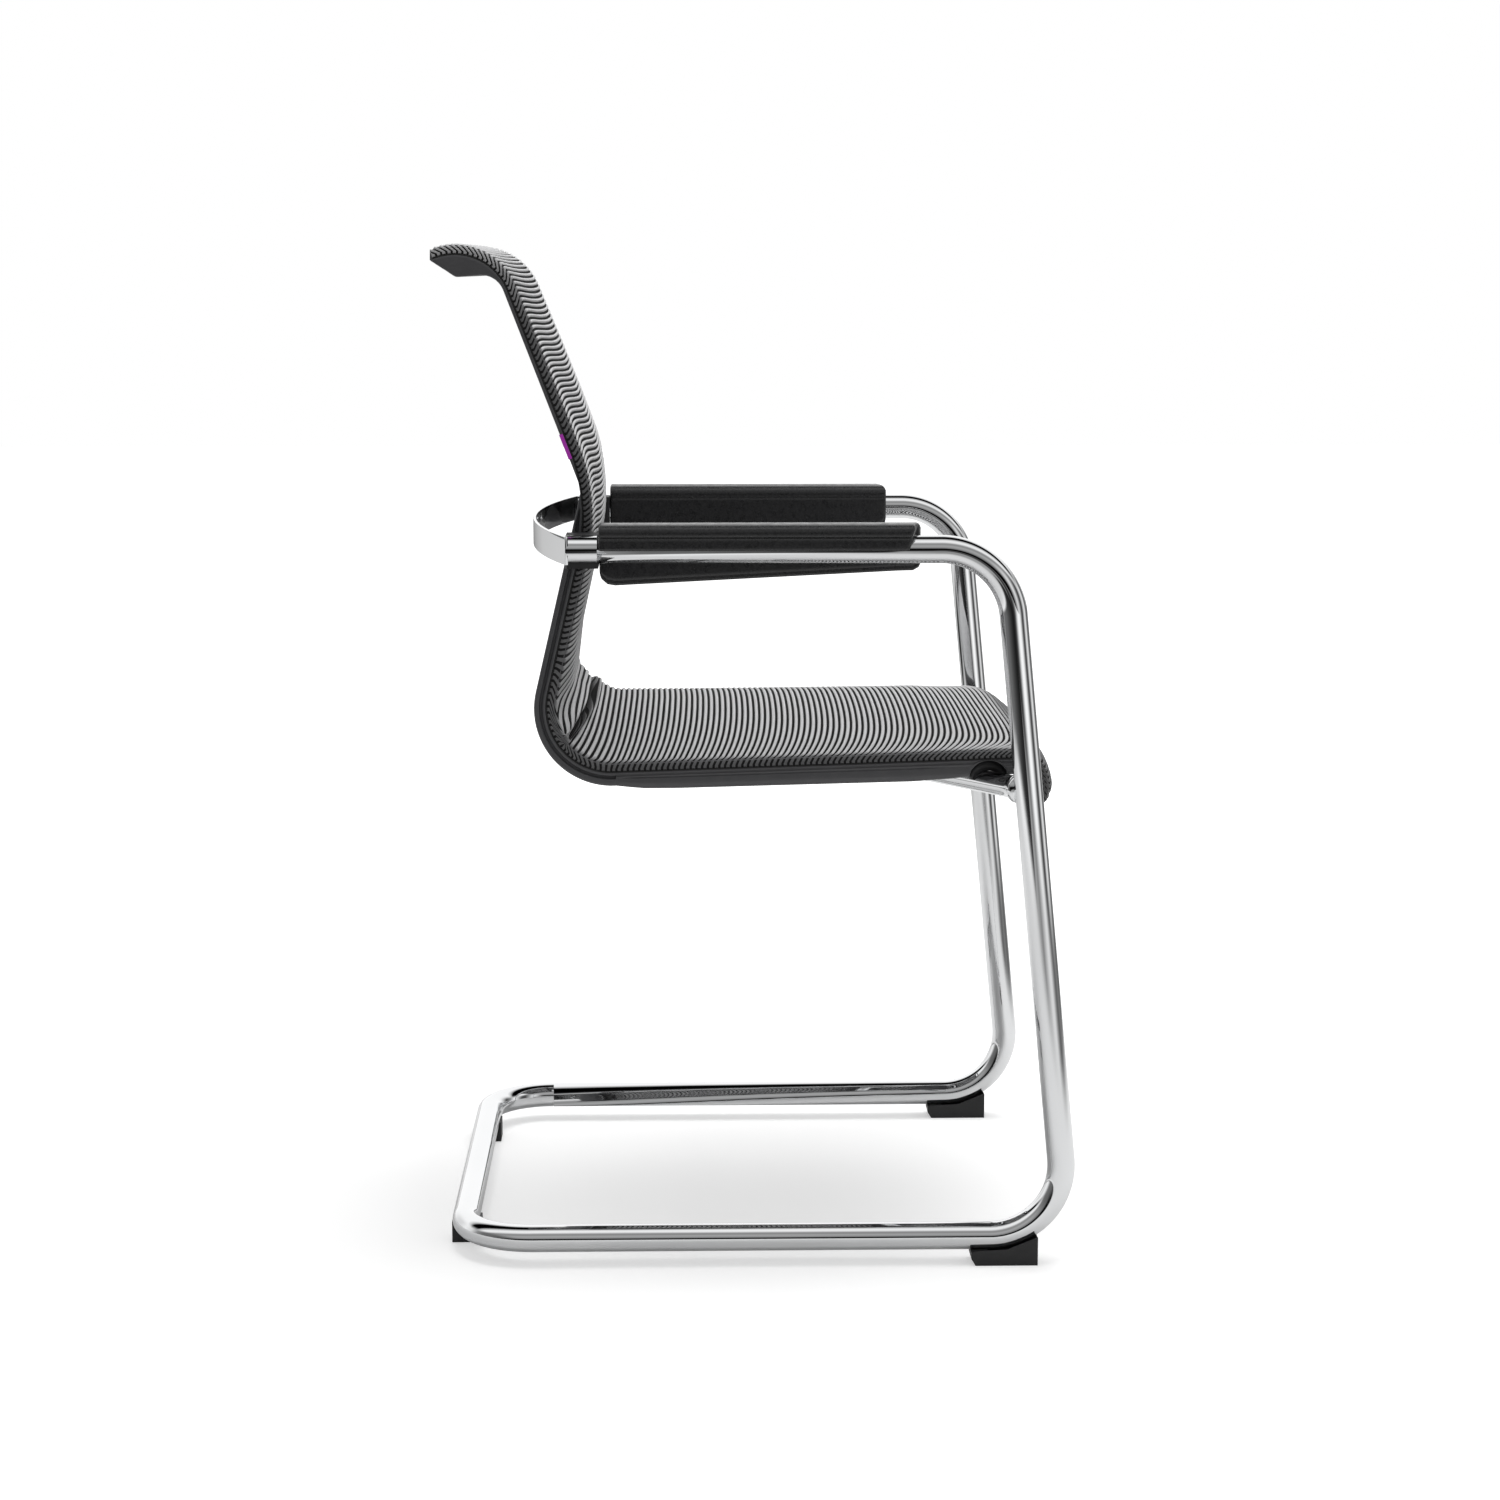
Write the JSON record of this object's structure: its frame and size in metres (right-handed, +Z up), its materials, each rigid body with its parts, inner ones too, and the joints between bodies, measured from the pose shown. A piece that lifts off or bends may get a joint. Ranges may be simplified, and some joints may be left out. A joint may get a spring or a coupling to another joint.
{
  "type": "cantilever chair",
  "caption": "Cantilever conference armchair with a bent chrome tube frame, a ribbed mesh seat and back in moulded side frames, and padded arms joined by a flat band.",
  "frame": {"origin": "centre of the bounding box at floor level, under the soles of the glides", "axes": "+Z up, -Y the way the sitter faces, +X the sitter's left"},
  "size_m": [0.584, 0.6208, 0.989],
  "materials": {
    "chrome_tube": "mirror chrome plate on steel tube",
    "chrome_band": "mirror chrome plate on flat steel",
    "chrome_fitting": "mirror chrome plate on turned metal",
    "moulded_frame": "satin charcoal moulding",
    "mesh_fabric": "ribbed stretched mesh, grey ribs over black",
    "edge_cord": "dull black cord",
    "arm_leather": "soft black leather over foam",
    "glide_plastic": "dull black moulding",
    "bar_steel": "black powder coat",
    "bolt_steel": "zinc-plated steel",
    "tag_trim": "bare purple tag"
  },
  "bodies": {
    "root": {"cantilever_frame": "chrome_tube", "seat_support_tube": "chrome_tube", "left_back_frame": "moulded_frame", "right_back_frame": "moulded_frame", "left_seat_rail": "moulded_frame", "right_seat_rail": "moulded_frame", "left_mesh_cord": "edge_cord", "right_mesh_cord": "edge_cord", "top_crossbar": "moulded_frame", "rear_crossbar": "moulded_frame", "front_crossbar": "moulded_frame", "seat_crossbar": "bar_steel", "left_tube_strap": "bar_steel", "right_tube_strap": "bar_steel", "mesh_cover": "mesh_fabric", "back_band": "chrome_band", "left_arm_fitting": "chrome_fitting", "right_arm_fitting": "chrome_fitting", "joint_bolts": "bolt_steel", "left_joint_block": "glide_plastic", "right_joint_block": "glide_plastic", "left_arm_pad": "arm_leather", "right_arm_pad": "arm_leather", "left_front_glide": "glide_plastic", "right_front_glide": "glide_plastic", "left_rear_glide": "glide_plastic", "right_rear_glide": "glide_plastic", "frame_tag": "tag_trim"}
  },
  "joints": []
}
